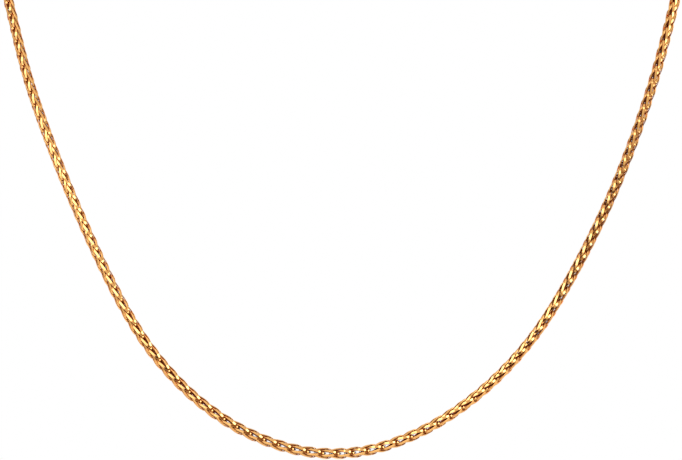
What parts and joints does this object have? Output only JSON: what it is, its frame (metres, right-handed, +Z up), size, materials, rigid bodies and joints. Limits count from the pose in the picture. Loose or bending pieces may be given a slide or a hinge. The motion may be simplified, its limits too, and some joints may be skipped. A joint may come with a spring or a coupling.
{
  "type": "wheat chain necklace",
  "caption": "Fine gold wheat chain necklace of interlocked links, hanging as worn, with end caps, jump rings and a lobster clasp at the nape.",
  "frame": {"origin": "the point on the neck side of the clasp where the closed chain rests on the nape", "axes": "+Z up as worn, -Y to the wearer's front where the chain hangs lowest, +X to the right as seen from the front"},
  "size_m": [0.1154, 0.1098, 0.1094],
  "materials": {
    "chain_gold": "mirror polished gold",
    "fitting_gold": "polished gold"
  },
  "bodies": {
    "root": {"wheat_chain": "chain_gold", "end_cap_left": "fitting_gold", "end_cap_right": "fitting_gold", "clasp_ring": "fitting_gold", "catch_ring": "fitting_gold", "clasp": "fitting_gold"}
  },
  "joints": []
}
